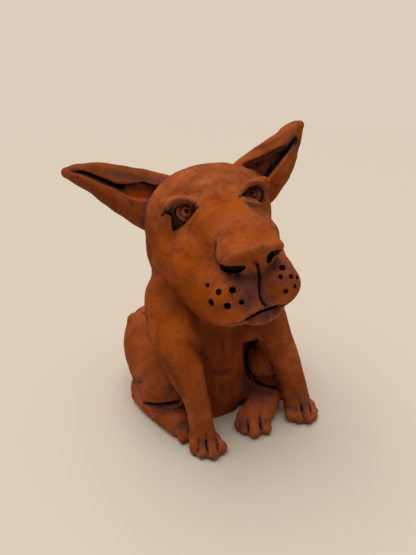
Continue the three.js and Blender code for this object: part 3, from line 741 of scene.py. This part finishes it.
# The wash lies thicker where an ear meets the head, and a little ochre and painted shade tint the whole ear
earClay = {"grow": 0.6, "voxel": 0.85, "rounds": 3, "softRounds": 6, "waves": (0.8, 12.0, 7),
           "creases": [(0.5, 14, 0.7)], "rootWash": 0.6, "rootReach": 5.0, "ochre": 0.15, "burnt": 0.1}
earPockets = {
    "left": {"outline": [(241, 165.5), (258, 157), (276, 148), (290, 142.5), (300, 136), (296, 144),
                         (289, 153), (284, 161), (277, 171), (266, 182), (256, 177)], "deep": 11,
             "soft": 6},
    "right": {"outline": [(66, 169.5), (82, 170.5), (96, 174), (106, 178), (117, 182.5), (140, 183.5),
                          (160, 186.5), (160, 200), (142, 201), (130, 199), (117, 192), (104, 186.5),
                          (90, 180), (78, 175)], "deep": 7, "soft": 3.5},
}
earStrokes = {
    "left": [
        stroke((298, 138), (290, 146), (281, 157), (272, 168), (265, 178), wide=3.6, deep=2.6, wash=1.0,
               spread=1.8, ends=0.05),
        stroke((245, 165), (258, 160), (274, 152), (290, 144.5), wide=3.0, deep=1.4, wash=0.72),
        stroke((262, 160), (258, 167), (262, 175), wide=6.0, wash=0.66, spread=1.4),
        stroke((280, 150), (276, 158), (270, 168), wide=6.0, wash=0.76, spread=1.2),
        stroke((250, 150), (268, 143), (284, 134), wide=2.5, deep=-1.0),
        stroke((300, 150), (292, 164), (281, 179), wide=2.5, deep=-0.8, wash=0.2),
        # painted shade along the ear's upper edge
        stroke((238, 158), (256, 149), (274, 139), (290, 131), wide=5.0, burnt=0.24),
    ],
    "right": [
        stroke((69, 170.8, 0.6), (84, 173), (97, 177.5), (109, 183), (120, 186), (133, 185), (147, 185.5),
               (159, 188), wide=2.2, deep=4.5, wash=1.0, spread=1.5),
        stroke((105, 181), (116, 186), (126, 186.5), wide=3.2, deep=2.0, wash=1.0),
        stroke((112, 189.5), (121, 194), (129, 200), (135, 208), wide=1.8, deep=1.2, wash=0.45),
        stroke((84, 166), (104, 168), (124, 172), (146, 178), wide=4.0, deep=-1.2),
        stroke((80, 180), (98, 190), (114, 199), (128, 211), wide=4.5, deep=-1.4),
        stroke((100, 173), (120, 176), (150, 180), (166, 182), wide=4.5, wash=0.42),
        stroke((70, 176), (82, 186), (96, 196), (112, 207), (130, 221), wide=4.5, wash=0.34),
        stroke((64, 168), (80, 165), (100, 164), wide=4.0, wash=0.3),
        stroke((148, 208), (149, 222), (150, 236), wide=4.0, wash=0.5),
        # painted shade along the upper roll and the lobe
        stroke((68, 167), (85, 165), (105, 165), (128, 169), (152, 177), wide=7.0, burnt=0.42),
        stroke((68, 177), (88, 189), (112, 205), (136, 223), wide=8.0, burnt=0.42),
        stroke((122, 194), (135, 196), (156, 195), wide=4.0, ochre=0.9),
    ],
}
ears = {}
for side in sides:
    print("stage: the", side, "ear")
    ear = asObject("ear_" + side, [rolled(earShape[side], earClay["grow"], place=headMatrix)])
    kneaded(ear, earClay["voxel"] * coarse, earClay["rounds"])
    pressArea(ear, earPockets[side])
    kneaded(ear, earClay["voxel"] * coarse, earClay["softRounds"])
    amounts = marked(ear, earClay, earStrokes[side])
    toHead = np.array([headTree.find_nearest(Vector(spot))[3] for spot in spotsOf(ear)])
    rootWash = earClay["rootWash"] * np.exp(-(toHead / earClay["rootReach"]) ** 2)
    amounts["wash"] = np.maximum(amounts["wash"], rootWash)
    for name in ("ochre", "burnt"):
        amounts[name] += earClay[name]
    setPaint(ear, amounts)
    ears[side] = cut(ear, headSkin)

# The body's outer skin
torsoShape = {"line": [(-13, 10, -12, 40, 64), (-13, 10, 24.8, 42, 68), (-13, 9, 58.4, 40, 61),
                       (-10, 8, 93.4, 43, 52), (-4, 5, 124, 50, 44)], "square": 2.6, "capReach": 0.3,
              "around": 40}
neckShape = {"line": [(-4, 5, 124, 50, 44), (-7, 7, 148, 56, 46), (-3, 13, 174, 54, 46)], "capReach": 0.3,
             "around": 40}
legShape = {
    "left": {"line": [(40, -2, 140.2, 20, 23), (41, -16, 119.7, 23, 24), (43, -40, 96.4, 21, 21),
                      (48, -58, 73, 17, 17), (55, -70, 49.6, 14, 14), (59, -79, 22, 14, 14),
                      (61, -82, 9.5, 15, 14)]},
    "right": {"line": [(-45, 0, 144.5, 20, 24), (-54, -12, 124.1, 25, 27), (-57, -38, 102.2, 23, 22),
                       (-57, -58, 78.8, 18, 18), (-52, -72, 52.6, 13, 13), (-49, -80, 22, 12, 12),
                       (-49, -83, 9.5, 13, 13)]},
}
thighShape = {
    "left": {"line": [(56, 50, 60.8, 22, 24), (61, 30, 54, 28, 36), (56, 2, 45.6, 28, 38),
                      (46, -34, 36, 20, 30)]},
    "right": {"line": [(-58, 50, 60.8, 24, 28), (-66, 30, 57, 28, 37), (-68, 4, 47.1, 28, 38),
                       (-67, -20, 37, 24, 28)]},
}
shankShape = {
    "left": {"line": [(54, -32, 25.2, 15, 15), (67, -14, 21, 17, 16), (79, 4, 18.2, 13, 14)]},
    "right": {"line": [(-62, -32, 25.2, 15, 15), (-73, -14, 20.3, 18, 18), (-82, 4, 16.1, 15, 17)]},
}
hindFootShape = {
    "left": {"line": [(68, -28, 16, 17, 15), (45, -47, 16, 19, 16), (24, -68, 12, 18, 13),
                      (10, -80, 8.5, 15, 8.5)]},
    "right": {"line": [(-84, 4, 9, 13, 11), (-76, -20, 9, 15, 12), (-67, -42, 9, 15, 12),
                       (-63, -56, 8, 13, 11)]},
}
rumpShape = {"line": [(-66, 34, 60, 22, 24), (-77, 39, 81, 10, 10)]}
armpitShape = {"line": [(11, -36, 84, 11, 11), (27, -42, 91, 11, 11)]}
ankleShape = {"line": [(17, -40, 4, 13, 13), (19, -40, 18, 12, 12), (27, -40, 24, 9, 9)]}
tailShape = {"line": [(0, 74, 12, 10, 10), (18.9, 85, 10, 8, 8), (42, 78, 8, 6, 7)], "upper": (0, 0, 1)}
pawShape = {
    "foreleg_left": {"at": (62, -84), "half": 19, "length": 34, "height": 19, "turn": 0,
                     "toes": [(48, -90, 6.8), (54.5, -95.5, 6.5), (62.5, -100, 5.6), (70, -98.5, 5),
                              (75.5, -93.5, 4.2)]},
    "foreleg_right": {"at": (-49, -85), "half": 17, "length": 34, "height": 19, "turn": -4,
                      "toes": [(-60.6, -89.1, 4.6), (-56.1, -95.4, 5), (-46.3, -100.1, 6.2),
                               (-36.5, -97.7, 5.8)]},
    "hind_foot_left": {"at": (4, -82), "half": 18, "length": 30, "height": 17, "turn": -20,
                       "toes": [(-8.5, -80, 3.8), (-5.5, -86, 5), (2.3, -93.4, 7), (15.5, -94.6, 6),
                                (20, -88, 5)]},
    "hind_foot_right": {"at": (-61, -60), "half": 12, "length": 30, "height": 17, "turn": 20,
                        "toes": [(-65.4, -71.4, 5), (-60, -71, 4.6), (-55, -69, 4.6), (-51, -65.5, 4.4)]},
}
bodyClay = {"softVoxel": 2.8, "softRounds": 9, "haunchRounds": 4, "pawVoxel": 1.0, "voxel": 1.25, "rounds": 3,
            "waves": (0.9, 16.0, 11), "creases": [(0.55, 12, 0.7), (0.35, 50, 1.8)]}
print("stage: the body is put together")
trunkForms = [rolled(shape) for shape in (torsoShape, neckShape, *legShape.values(), armpitShape)]
bodySkins = [kneaded(asObject("trunk", trunkForms), bodyClay["softVoxel"], bodyClay["softRounds"]),
             asObject("tail roll", [rolled(tailShape)])]
for side, extra in (("left", ankleShape), ("right", rumpShape)):
    forms = [rolled(shape) for shape in (thighShape[side], shankShape[side], extra)]
    bodySkins.append(kneaded(asObject("haunch", forms), bodyClay["softVoxel"], bodyClay["haunchRounds"]))
bodySkins += [asObject("hind foot", [rolled(hindFootShape[side])]) for side in sides]
bodySkins += [kneaded(asObject("paw", pawForms(paw)), bodyClay["pawVoxel"], bodyClay["rounds"])
              for paw in pawShape.values()]
bodySkin = joined("body skin", bodySkins)
kneaded(bodySkin, bodyClay["voxel"] * coarse, bodyClay["rounds"])
print("  body skin", len(bodySkin.data.vertices), "points")

bodyStrokes = [
    # Where the right foreleg meets the haunch, the chest and the shoulder, with painted shade in the valleys
    stroke((155, 348, 0.5), (161, 358), (168, 369), (175, 380), (180, 392), (182, 402), wide=4.0, deep=1.2,
           wash=0.2, burnt=0.6, spread=1.5),
    stroke((170, 376, 0.5), (176, 385), (180, 394), (182, 402), wide=1.6, deep=1.0, wash=0.5),
    stroke((186, 334, 0.4), (194, 345, 0.8), (202, 355), (207, 364), (208.5, 378), (211, 395), (213.5, 413),
           wide=4.6, deep=1.4, wash=0.1, burnt=0.7, spread=1.6),
    stroke((199, 349, 0.6), (205, 358), (208, 367), wide=2.8, deep=0.8, wash=0.16, ends=0.4),
    stroke((143, 311), (146, 317), (147, 323), wide=3.2, deep=1.6, wash=0.4),
    # Creases, streaks and a hollow in the belly, darkened with painted shade
    stroke((206, 369), (215, 372.5), (227, 371.5), (237, 368, 0.6), wide=3.6, deep=1.4, burnt=0.9, ends=0.3),
    stroke((216, 380), (221, 384), (223, 391), (221, 399), wide=4.0, deep=1.0, burnt=0.8, ends=0.4),
    stroke((200, 352), (220, 356), (238, 352), wide=5.0, deep=1.0, burnt=0.4, ends=0.4),
    stroke((221, 333), (223, 345), (222, 360), wide=2.4, burnt=0.9, spread=1.5, ends=0.4),
    stroke((231, 338), (233, 352), (230, 366), wide=2.0, burnt=0.7, spread=1.5, ends=0.4),
    stroke((213, 352), (212, 366), (214, 382), (218, 398), wide=2.4, burnt=0.7, spread=1.5, ends=0.4),
    stroke((229, 376), (231, 388), (228, 400), wide=2.2, wash=0.12, burnt=0.6, spread=1.5, ends=0.4),
    # The slot between the right shank and its foot
    stroke((142, 403.2, 0.3), (150, 404.3, 0.5), (160, 405, 0.75), (170, 404.7), (181, 402.6), wide=2.5,
           deep=5.0, wash=1.0),
    stroke((150, 409), (165, 411), (182, 411), wide=4.0, wash=0.48),
    stroke((131, 382), (138, 382.5), (145, 380, 0.5), wide=3.6, deep=1.8, wash=0.36, ends=0.4),
    # The dark arch round the left thigh, its darkness painted shade
    stroke((259, 340), (252, 342), (247.5, 347), (245.5, 355), (246, 364), (248.5, 372), (253.5, 378.5),
           wide=3.4, deep=1.6, wash=1.0, spread=1.5, ends=0.03),
    stroke((251, 375), (256, 380.5), (262, 383.5), (270, 385.8), (279, 387.5), wide=2.0, deep=2.4, wash=1.0,
           spread=1.4, ends=0.03),
    stroke((262, 341), (266, 350), (270, 360), (274, 373), (278, 385), wide=1.6, deep=0.8, wash=0.62,
           spread=1.4, ends=0.05),
    stroke((280, 388), (283, 395), (286, 402), wide=1.6, deep=1.2, wash=0.6),
    stroke((251, 349), (257, 346), wide=5.0, wash=1.0),
    stroke((240, 380), (250, 389), (262, 392), (276, 392), wide=6.5, wash=0.62, spread=1.2),
    stroke((236, 412), (242, 403), (249, 396), wide=2.6, deep=1.2, wash=0.4),
    # Toes
    stroke((199.5, 438, 0.5), (198, 446), (197.5, 455), wide=1.6, deep=1.8, wash=0.22),
    stroke((206.5, 432, 0.5), (206.5, 445), (207.5, 458), wide=1.8, deep=2.4, wash=0.22),
    stroke((215, 436, 0.5), (218, 444), (219.5, 455), wide=1.6, deep=1.8, wash=0.22),
    stroke((299.5, 398, 0.5), (302.5, 410), (304.5, 422), wide=1.8, deep=2.2, wash=0.22),
    stroke((308, 401, 0.5), (311, 409), (312.5, 418), wide=1.5, deep=1.8, wash=0.22),
    stroke((247, 417, 0.5), (247.5, 426), (248, 433), wide=1.8, deep=2.2, wash=0.22),
    stroke((259.5, 414, 0.5), (261, 424), (261.5, 432), wide=1.8, deep=2.4, wash=0.22),
    stroke((239, 418, 0.5), (239, 424), (239, 429), wide=1.4, deep=1.4, wash=0.22),
]
bodyPaint = {
    "wash": [(205, 452, 16, 0.3), (198, 425, 10, 0.2), (305, 405, 15, 0.4), (292, 388, 9, 0.34),
             (298, 396, 10, 0.4), (262, 396, 13, 0.5), (252, 392, 10, 0.5), (182, 425, 10, 0.5),
             (243, 380, 10, 0.45), (243, 424, 10, 0.45), (262, 424, 12, 0.36), (238, 425, 9, 0.45),
             (172, 390, 9, 0.5), (166, 398, 7, 0.4), (168, 376, 6, 0.35), (195, 320, 14, 0.2),
             (222, 395, 8, 0.15), (140, 390, 8, 0.2), (138, 330, 8, 0.14)],
    "ochre": [(165, 330, 22, 0.8), (172, 310, 14, 0.8), (185, 345, 16, 0.8), (220, 345, 20, 0.5),
              (235, 362, 12, 0.5), (222, 385, 14, 0.4), (160, 300, 18, 0.6), (190, 370, 14, 0.6),
              (258, 362, 8, 0.5)],
    # painted shade on the neck, chest and belly, where the head shades them
    "burnt": [(168, 285, 16, 0.8), (158, 268, 12, 0.75), (178, 305, 14, 0.75), (196, 325, 12, 0.6),
              (215, 338, 18, 0.66), (238, 340, 14, 0.66), (222, 362, 16, 0.6), (236, 378, 14, 0.5),
              (214, 392, 12, 0.35), (250, 328, 12, 0.5), (186, 365, 12, 0.2), (203, 350, 9, 0.5)],
}
bellyRub = {"outline": [(234, 366), (245, 366), (253, 378), (264, 387), (262, 396), (249, 398), (241, 404),
                        (233, 398), (230, 380)], "soft": 4, "rounds": 110, "within": 506.51}
print("stage: the body is marked")
rubArea(bodySkin, bellyRub)
setPaint(bodySkin, marked(bodySkin, bodyClay, bodyStrokes, paint=bodyPaint))

# The air inside, and the regions that share the body's skin out among its pieces
walls = {"body": 8.0, "head": 7.0}
airMaking = {"fine": 0.7, "voxel": 3.0}
bodyParting = {"trunk": 0.5, "limb": 3, "paw": 2.5, "tail": 2.5, "neck": 5}  # how far a region stands off
tableWide = 400


def air(name, shapes, wall, place=Matrix()):
    # The room inside some forms when they keep a wall of clay
    forms = [rolled(shape, -wall, place=place, fine=airMaking["fine"]) for shape in shapes]
    return region(name, forms, airMaking["voxel"])


print("stage: the body is hollowed and parted")
tableForm = bmesh.new()
bmesh.ops.create_cube(tableForm, size=tableWide, matrix=Matrix.Translation((0, 0, -tableWide / 2)))
bodyAir = air("body air", [torsoShape, neckShape], walls["body"])
belowTable = asObject("below the table", [tableForm])
for cutter in (bodyAir, belowTable, headSkin):
    cut(bodySkin, cutter)

trunk, limb, pad = bodyParting["trunk"], bodyParting["limb"], bodyParting["paw"]
trunkRegion = region("trunk region", [rolled(torsoShape, trunk), rolled(neckShape, trunk)])
torsoRegion = region("torso region", [rolled(torsoShape, trunk)])
bodyRegions = {}
for side in sides:
    haunchShapes = [thighShape[side], shankShape[side]] + ([rumpShape] if side == "right" else [])
    limbs = {"foreleg_": [rolled(legShape[side], limb)] + pawForms(pawShape["foreleg_" + side], pad),
             "haunch_": [rolled(shape, limb) for shape in haunchShapes],
             "hind_foot_": [rolled(hindFootShape[side], limb)] + pawForms(pawShape["hind_foot_" + side], pad)}
    before = []
    for kind, forms in limbs.items():
        part = region(kind + side, forms)
        for cutter in [trunkRegion] + before:
            cut(part, cutter)
        before.append(part)
        bodyRegions[kind + side] = part
bodyRegions["tail"] = cut(region("tail", [rolled(tailShape, bodyParting["tail"])]), torsoRegion)
bodyRegions["neck"] = cut(region("neck", [rolled(neckShape, bodyParting["neck"])]), torsoRegion)
for side in sides:
    cut(bodyRegions["neck"], bodyRegions["foreleg_" + side])


def sharedOut(skin, regions, rest):
    # Each region takes its part of the skin, and the piece named last gets what is left
    parts = {name: cut(copied(skin, name), part, "INTERSECT") for name, part in regions.items()}
    taken = joined("shared out", list(regions.values()))
    parts[rest] = cut(copied(skin, rest), taken)
    discard(skin, taken)
    return parts


pieces = sharedOut(bodySkin, bodyRegions, "torso")
discard(trunkRegion, torsoRegion, bodyAir, belowTable)

# Eyes, nostrils, whisker holes and the air in the head
eyeOpenings = {
    "right": {"outline": [(164, 213), (168, 209), (174, 205), (180, 203), (187, 202.8), (192.5, 205),
                          (196.5, 208.5), (194, 213.5), (188.5, 220), (182.5, 225.5), (173.5, 231.5),
                          (171.5, 227), (171, 221), (170, 215.5)], "deep": 6.5, "lean": 0.5},
    "left": {"outline": [(241.5, 195.5), (244.5, 191.5), (248, 188), (252.5, 186), (257, 186),
                         (261, 188.5), (263.5, 193), (264, 199.5), (258, 199.5), (249, 198)], "deep": 11,
             "lean": 0.1},
}
# Each hole is (x, y, radius in mm)
whiskerHoles = [(207.4, 285.4, 2.0), (218.3, 291.9, 3.2), (232.5, 290, 3.2), (211.2, 302.6, 3.7),
                (227.4, 306.3, 3.4), (241.9, 302.3, 2.7), (282.3, 267.3, 3.3), (280.7, 276.7, 2.2),
                (291.4, 276.5, 2.6), (297.2, 277.6, 2.0), (295.2, 286.3, 2.0), (286, 291.4, 2.5)]
whiskerTool = {"deep": 12, "above": 4, "slant": 0.35, "tip": 0.8}
nostrils = {
    "near": {"deep": 8, "lean": 0.3,
             "outline": [(219.5, 264), (225, 265.5), (232, 266), (240, 265.5), (245, 266), (245.5, 268.5),
                         (241.5, 271.8), (236, 273.8), (229, 274.2), (223.5, 272), (220, 268)]},
    "far": {"deep": 4.5, "above": 14, "flat": True,
            "outline": [(266.5, 262.5), (267, 257), (269.5, 252.8), (274, 250.4), (280, 249.4),
                        (286, 249.6), (285.5, 252.4), (281, 253.6), (276, 255.4), (272.6, 258.5),
                        (270, 263)]},
}
# How far an eye's ball grows for its socket, and for the wall of clay behind it, and how much wash
# and painted shade the eye opening's walls take
eyeRoom = {"socket": 0.6, "socketVoxel": 0.9, "wall": 7.6, "wallDetail": 12, "openingWashAndShade": 0.7}


def eyeBalls(grow, detail=24):
    # Both eyes' balls, grown to leave room round them
    forms = []
    radius = eyeMiddle["radius"] + grow
    for side in sides.values():
        form = bmesh.new()
        bmesh.ops.create_uvsphere(form, u_segments=detail * 2, v_segments=detail, radius=radius)
        place = Matrix.Translation((side * eyeMiddle["out"], eyeMiddle["ahead"], eyeMiddle["up"]))
        bmesh.ops.transform(form, matrix=headMatrix @ place, verts=form.verts)
        forms.append(form)
    return forms


print("stage: the head is pierced and parted")
for side in sides:
    opening = asObject("eye opening", [punched(tree=headTree, **eyeOpenings[side])])
    setPaint(opening, {"wash": eyeRoom["openingWashAndShade"]})
    cut(headSkin, opening)
    discard(opening)
sockets = region("sockets", eyeBalls(eyeRoom["socket"]), eyeRoom["socketVoxel"])
holes = asObject("holes", [pierced(headTree, *hole, whiskerTool) for hole in whiskerHoles])
nostrilCutter = asObject("nostrils", [punched(tree=headTree, **nostril) for nostril in nostrils.values()])
for cutter in (sockets, holes, nostrilCutter):
    setPaint(cutter, {"wash": 1.0})
    cut(headSkin, cutter)
headAir = air("head air", [skullShape, muzzleShape], walls["head"], headMatrix)
eyeBacks = region("eye backs", eyeBalls(eyeRoom["wall"], eyeRoom["wallDetail"]))
neckBore = air("neck bore", [neckShape], walls["body"])
cut(headAir, eyeBacks)
cut(headSkin, headAir)
cut(headSkin, neckBore)

headParting = {"flew": 1.2, "nose_pad": 1.5, "lower_jaw": 1.5, "skull": 2.0, "core": 0.3}
headRegions = {}
for name, side in sides.items():
    flew = rolled(flewShape, headParting["flew"], side, headMatrix)
    headRegions["flew_" + name] = region("flew_" + name, [flew])
for name, shape in (("nose_pad", noseShape), ("lower_jaw", jawShape)):
    headRegions[name] = region(name, [rolled(shape, headParting[name], place=headMatrix)])
muzzleCore = region("muzzle core", [rolled(shape, headParting["core"], place=headMatrix)
                                    for shape in (muzzleShape, bridgeShape)])
for part in headRegions.values():
    cut(part, muzzleCore)
for side in sides:
    cut(headRegions["flew_" + side], headRegions["nose_pad"])
for side in sides:
    cut(headRegions["lower_jaw"], headRegions["flew_" + side])
skullForms = [rolled(skullShape, headParting["skull"], place=headMatrix)]
skullForms += [rolled(browShape, headParting["skull"], side, headMatrix) for side in sides.values()]
headRegions["skull"] = region("skull", skullForms)
pieces.update(sharedOut(headSkin, headRegions, "muzzle"))
discard(muzzleCore, sockets, holes, nostrilCutter, headAir, eyeBacks, neckBore)

# Eyeballs: a ball of clay with a ring drawn on it and a pupil pricked in the middle
eyeMaking = {"columns": 96, "rows": 64, "pupil": 2.9, "pupilTip": 0.7, "pupilDeep": 5.0,
             "ring": 5.8, "ringWide": 0.75, "ringDeep": 1.0, "ringPaintWide": 0.8, "ringWash": 0.6,
             "wash": 0.22, "edgeFrom": 8.0, "edgeWide": 1.2, "edgeWash": 0.9,
             "pupilSeen": {"left": (250, 193.5), "right": (187, 211)}}
radius = eyeMiddle["radius"]
for name, side in sides.items():
    print("stage: the", name, "eyeball")
    form = bmesh.new()
    bmesh.ops.create_uvsphere(form, u_segments=eyeMaking["columns"], v_segments=eyeMaking["rows"],
                              radius=radius)
    for vert in form.verts:
        if vert.co.z > 0:
            out = math.hypot(vert.co.x, vert.co.y)
            ring = math.exp(-((out - eyeMaking["ring"]) / eyeMaking["ringWide"]) ** 2)
            vert.co *= 1 - eyeMaking["ringDeep"] * ring / radius
    ball = asObject("eyeball_" + name, [form])
    pupilForm = bmesh.new()
    bmesh.ops.create_cone(pupilForm, cap_ends=True, segments=8, radius2=eyeMaking["pupil"],
                          radius1=eyeMaking["pupil"] * eyeMaking["pupilTip"],
                          depth=eyeMaking["pupilDeep"] * 2, matrix=Matrix.Translation((0, 0, radius)))
    pupil = asObject("pupil", [pupilForm])
    setPaint(pupil, {"wash": 1.0})
    out = np.hypot(*spotsOf(ball).T[:2])
    ring = np.exp(-((out - eyeMaking["ring"]) / eyeMaking["ringPaintWide"]) ** 2)
    edge = np.clip((out - eyeMaking["edgeFrom"]) / eyeMaking["edgeWide"], 0, 1)
    setPaint(ball, {"wash": eyeMaking["wash"] + eyeMaking["ringWash"] * ring + eyeMaking["edgeWash"] * edge})
    cut(ball, pupil)
    discard(pupil)
    middle = headMatrix @ Vector((side * eyeMiddle["out"], eyeMiddle["ahead"], eyeMiddle["up"]))
    ray = sightLine(*eyeMaking["pupilSeen"][name])
    nearest = viewFrom + ray * (middle - viewFrom).dot(ray)
    short = math.sqrt(max(0.0, radius ** 2 - (nearest - middle).length_squared))
    aim = (nearest - ray * short - middle).to_track_quat("Z", "Y").to_matrix().to_4x4()
    ball.data.transform(Matrix.Translation(middle) @ aim)
    finished(ball, "eyeball_" + name)

print("stage: the pieces are finished")
for side, ear in ears.items():
    pieces["ear_" + side] = ear
for name, piece in pieces.items():
    piece.name = name + "_clay"
    finished(piece, name)


# Camera, floor and light
print("stage: camera and light")
sensorHigh = 36.0
cameraData = bpy.data.cameras.new("camera")
cameraData.sensor_fit = "VERTICAL"
cameraData.sensor_height = sensorHigh
cameraData.lens = view["focal"] * sensorHigh / view["high"]
cameraData.clip_start = 0.01
camera = bpy.data.objects.new("camera", cameraData)
camera.location = (viewFrom + dogShift) * mm
camera.rotation_euler = (math.radians(90 - view["down"]), 0, -math.radians(view["turn"]))
scene.collection.objects.link(camera)
scene.camera = camera

studio = {
    "floor": "#d4cec6", "floorRoughness": 0.9, "floorRadius": 3.0,
    "backdrop": "#dccfbb", "ambient": "#f4efe8", "ambientStrength": 0.12,
    "lamps": {  # a broad, even light from above, as from a white ceiling, and a weak one in front
        "ceiling": {"kind": "SUN", "place": (-0.05, 0.25, 1.0), "aim": (0, 0, 0), "colour": "#fff4e4",
                    "settings": {"energy": 3.2, "angle": math.radians(70)}},
        "front fill": {"kind": "AREA", "place": (0.1, -1.1, 0.4), "aim": (0, 0, 0.1), "colour": "#fff3e6",
                       "settings": {"energy": 0.3, "shape": "DISK", "size": 0.8}},
    },
}
floorForm = bmesh.new()
bmesh.ops.create_circle(floorForm, cap_ends=True, segments=64, radius=studio["floorRadius"])
floor = asObject("floor", [floorForm])
plaster = bpy.data.materials.new("pale matte floor")
plaster.use_nodes = True
plasterInputs = plaster.node_tree.nodes["Principled BSDF"].inputs
plasterInputs["Base Color"].default_value = linear(studio["floor"])
plasterInputs["Roughness"].default_value = studio["floorRoughness"]
floor.data.materials.append(plaster)
floor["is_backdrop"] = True

world = bpy.data.worlds.new("studio")
world.use_nodes = True
scene.world = world
worldTree = world.node_tree
worldTree.nodes.clear()
seen = addNode(worldTree, "ShaderNodeLightPath").outputs["Is Camera Ray"]
ambient = addNode(worldTree, "ShaderNodeBackground", Color=linear(studio["ambient"]),
                  Strength=studio["ambientStrength"])
shown = addNode(worldTree, "ShaderNodeBackground", Color=linear(studio["backdrop"]), Strength=1.0)
both = addNode(worldTree, "ShaderNodeMixShader", n0=seen, n1=ambient.outputs[0], n2=shown.outputs[0])
addNode(worldTree, "ShaderNodeOutputWorld", Surface=both.outputs[0])

for name, lamp in studio["lamps"].items():
    lampData = bpy.data.lights.new(name, lamp["kind"])
    lampData.color = linear(lamp["colour"])[:3]
    for key, value in lamp["settings"].items():
        setattr(lampData, key, value)
    light = bpy.data.objects.new(name, lampData)
    light.location = lamp["place"]
    towards = Vector(lamp["place"]) - Vector(lamp["aim"])
    light.rotation_euler = towards.to_track_quat("Z", "Y").to_euler()
    scene.collection.objects.link(light)

scene.view_settings.view_transform = "Standard"
boxes = {"cad": [list(corner) for corner in cadBox],
         "visual": [list(corner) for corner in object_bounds()]}
for name, box in boxes.items():
    print("box in mm,", name, [[round(v / mm, 1) for v in corner] for corner in box])
